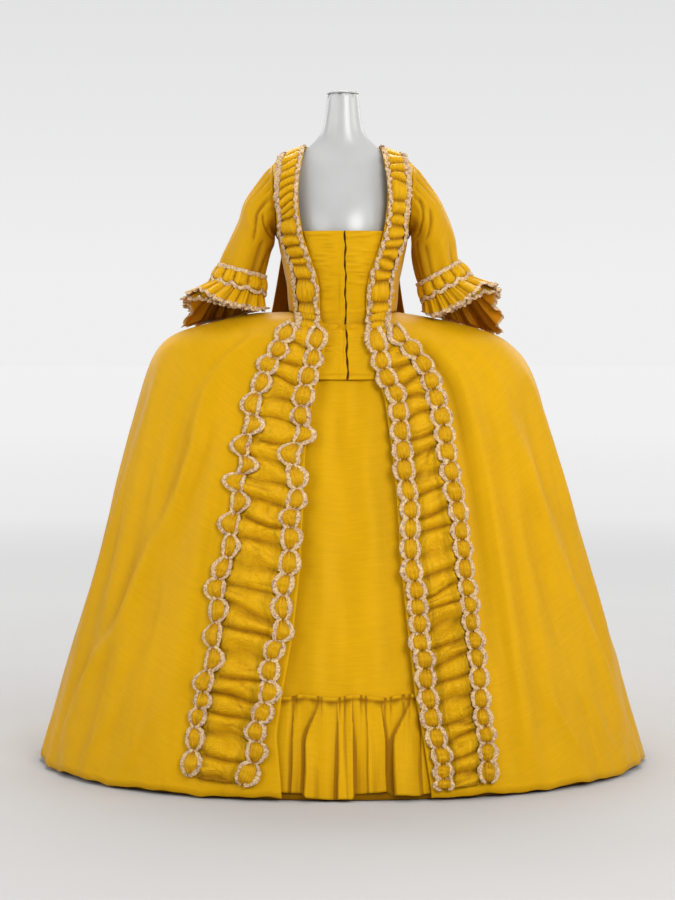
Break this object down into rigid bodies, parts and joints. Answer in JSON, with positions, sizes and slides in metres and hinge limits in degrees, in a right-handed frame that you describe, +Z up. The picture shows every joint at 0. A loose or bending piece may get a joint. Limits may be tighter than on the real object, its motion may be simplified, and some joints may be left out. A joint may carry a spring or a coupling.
{
  "type": "robe a la francaise on dress form",
  "caption": "Open sack-back gown and petticoat in yellow silk, with ruched fringed trimmings, flounced elbow sleeves and wide side hips, on a limbless dress form with a round stand.",
  "frame": {"origin": "middle of the stand base's underside, on the floor", "axes": "+Z up; -Y towards the front of the gown; +X towards the viewer's right of the gown's front, its wearer's left"},
  "size_m": [1.358, 1.2895, 1.4903],
  "materials": {
    "silk": "slubbed yellow silk taffeta with a soft sheen",
    "underlap": "dark red-brown silk",
    "fringe": "matt pinkish-beige fly fringe",
    "form": "smooth pale grey, glossy",
    "stand": "pale grey, satin"
  },
  "bodies": {
    "root": {"band_fringe_low_left": "fringe", "band_fringe_low_right": "fringe", "band_fringe_top_left": "fringe", "band_fringe_top_right": "fringe", "band_left": "silk", "band_right": "silk", "bodice_back": "silk", "bodice_front_left": "silk", "bodice_front_right": "silk", "chain_inner_left": "silk", "chain_inner_left_fringe": "fringe", "chain_inner_right": "silk", "chain_inner_right_fringe": "fringe", "chain_outer_left": "silk", "chain_outer_left_fringe": "fringe", "chain_outer_right": "silk", "chain_outer_right_fringe": "fringe", "form_neck_cap": "form", "form_torso": "form", "petticoat_back": "silk", "petticoat_flounce": "silk", "petticoat_front": "silk", "robing_fringe_left": "fringe", "robing_fringe_right": "fringe", "robing_left": "silk", "robing_right": "silk", "rolls_left": "silk", "rolls_right": "silk", "sack_back": "silk", "skirt_back_left": "silk", "skirt_back_right": "silk", "skirt_front_left": "silk", "skirt_front_right": "silk", "sleeve_flounce_lower_left": "silk", "sleeve_flounce_lower_left_fringe": "fringe", "sleeve_flounce_lower_right": "silk", "sleeve_flounce_lower_right_fringe": "fringe", "sleeve_flounce_upper_left": "silk", "sleeve_flounce_upper_left_fringe": "fringe", "sleeve_flounce_upper_right": "silk", "sleeve_flounce_upper_right_fringe": "fringe", "sleeve_left": "silk", "sleeve_right": "silk", "stand_base": "stand", "stand_pole": "stand", "stomacher_left": "silk", "stomacher_right": "silk", "stomacher_underlap": "underlap"}
  },
  "joints": []
}
